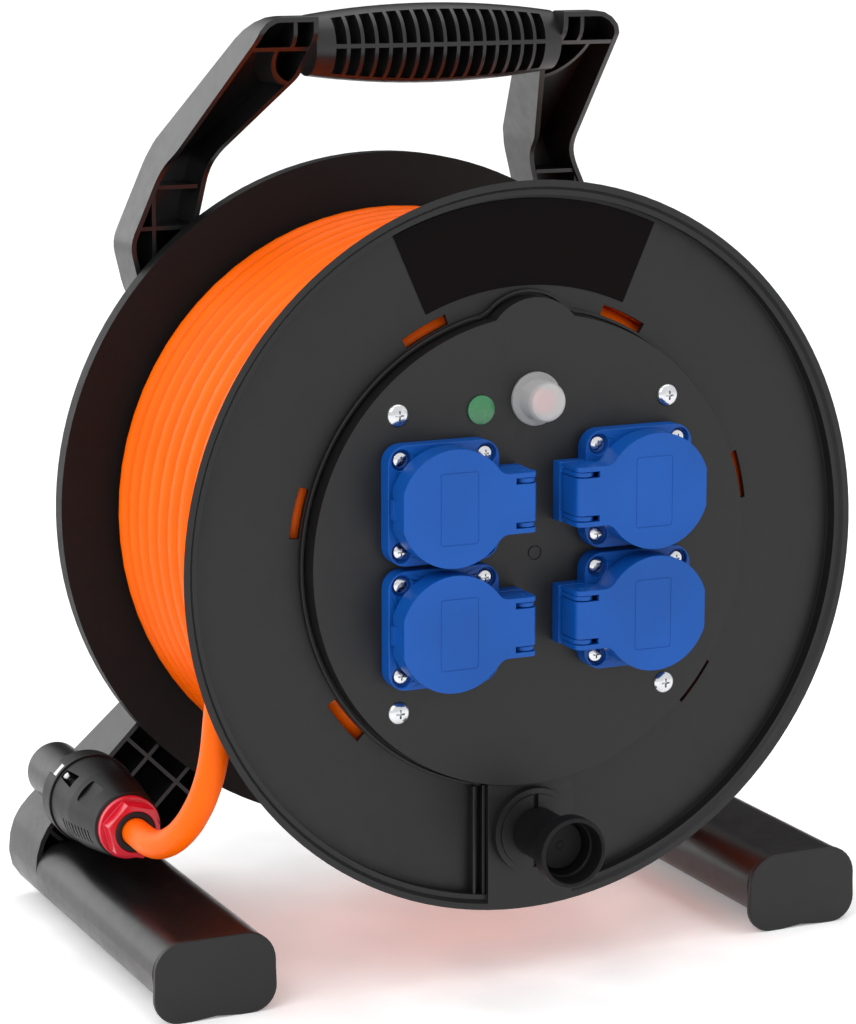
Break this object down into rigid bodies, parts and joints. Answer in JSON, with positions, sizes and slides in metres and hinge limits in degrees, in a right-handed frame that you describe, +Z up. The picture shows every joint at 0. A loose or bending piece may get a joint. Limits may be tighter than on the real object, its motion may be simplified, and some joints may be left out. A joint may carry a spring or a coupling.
{
  "type": "extension cord reel",
  "caption": "Portable cord reel: ribbed X frame with grip and foot bars, drum with lidded socket outlets, wound orange cord and parked plug.",
  "frame": {"origin": "middle of the footprint's box, on the surface that the feet stand on", "axes": "+X to the right seen from the sockets, +Y to the back along the axle, +Z up"},
  "size_m": [0.3371, 0.2458, 0.4092],
  "materials": {
    "black_plastic": "fine moulded grain",
    "cap_plastic": "satin moulded",
    "label_film": "plain film",
    "blue_plastic": "satin moulded",
    "orange_cord": "smooth sheath",
    "plug_plastic": "satin moulded rubber",
    "red_plastic": "gloss moulded",
    "seal_rubber": "matt rubber",
    "green_lens": "clear gloss",
    "grey_plastic": "moulded",
    "clear_cap": "clear soft gloss",
    "steel": "bright zinc",
    "brass": "nickelled brass"
  },
  "bodies": {
    "frame": {"frame": "black_plastic", "handle_grip": "black_plastic", "foot_bar_left": "black_plastic", "foot_bar_right": "black_plastic", "foot_cap_left": "cap_plastic", "foot_cap_right": "cap_plastic", "foot_screws": "steel", "axle": "steel", "axle_washer": "steel", "axle_bolt": "steel", "plug_body": "plug_plastic", "plug_insert": "plug_plastic", "plug_pins": "brass", "plug_earth_strips": "steel", "plug_screw": "steel", "gland_nut": "red_plastic", "gland_seal": "seal_rubber", "cord_tail": "orange_cord"},
    "drum": {"front_flange": "black_plastic", "barrel": "black_plastic", "back_flange": "black_plastic", "drum_screws": "steel", "hub_bushes": "grey_plastic", "label_plate": "label_film", "centre_panel": "black_plastic", "panel_gasket": "seal_rubber", "panel_screws": "steel", "socket_base_1": "blue_plastic", "socket_base_2": "blue_plastic", "socket_base_3": "blue_plastic", "socket_base_4": "blue_plastic", "socket_screws": "steel", "contact_sleeves": "brass", "earth_clips": "steel", "hinge_pins": "steel", "lid_springs": "steel", "indicator_lens": "green_lens", "indicator_body": "grey_plastic", "cutout_body": "black_plastic", "cutout_nut": "steel", "reset_cap": "clear_cap", "terminal_block": "grey_plastic", "cord_clamp": "grey_plastic", "clamp_screws": "steel", "inner_lead": "orange_cord", "knob_ring": "black_plastic", "knob_pin": "steel", "knob_washer": "cap_plastic", "cord_winding": "orange_cord"},
    "winding_knob": {"knob": "black_plastic"},
    "reset": {"reset_button": "red_plastic"},
    "lid_1": {"socket_lid_1": "blue_plastic", "lid_gasket_1": "seal_rubber"},
    "lid_2": {"socket_lid_2": "blue_plastic", "lid_gasket_2": "seal_rubber"},
    "lid_3": {"socket_lid_3": "blue_plastic", "lid_gasket_3": "seal_rubber"},
    "lid_4": {"socket_lid_4": "blue_plastic", "lid_gasket_4": "seal_rubber"}
  },
  "joints": [
    {"name": "drum_spin", "type": "hinge", "parent": "frame", "child": "drum", "pos_m": [0, -0.0025, 0.186], "axis": [0, 1, 0], "continuous": true},
    {"name": "knob_spin", "type": "hinge", "parent": "drum", "child": "winding_knob", "pos_m": [0, -0.1025, 0.066], "axis": [0, 1, 0], "continuous": true},
    {"name": "reset_press", "type": "slide", "parent": "drum", "child": "reset", "axis": [0, 1, 0], "range_m": [0, 0.0025], "stiffness_N_per_m": 400, "springref_m": -0.003},
    {"name": "lid_1_hinge", "type": "hinge", "parent": "drum", "child": "lid_1", "pos_m": [-0.0135, -0.1015, 0.212], "axis": [0, 0, 1], "range_deg": [0, 92], "stiffness_Nm_per_rad": 0.03, "springref_deg": -28.65},
    {"name": "lid_2_hinge", "type": "hinge", "parent": "drum", "child": "lid_2", "pos_m": [0.0135, -0.1015, 0.212], "axis": [0, 0, -1], "range_deg": [0, 92], "stiffness_Nm_per_rad": 0.03, "springref_deg": -28.65},
    {"name": "lid_3_hinge", "type": "hinge", "parent": "drum", "child": "lid_3", "pos_m": [-0.0135, -0.1015, 0.16], "axis": [0, 0, 1], "range_deg": [0, 92], "stiffness_Nm_per_rad": 0.03, "springref_deg": -28.65},
    {"name": "lid_4_hinge", "type": "hinge", "parent": "drum", "child": "lid_4", "pos_m": [0.0135, -0.1015, 0.16], "axis": [0, 0, -1], "range_deg": [0, 92], "stiffness_Nm_per_rad": 0.03, "springref_deg": -28.65}
  ]
}
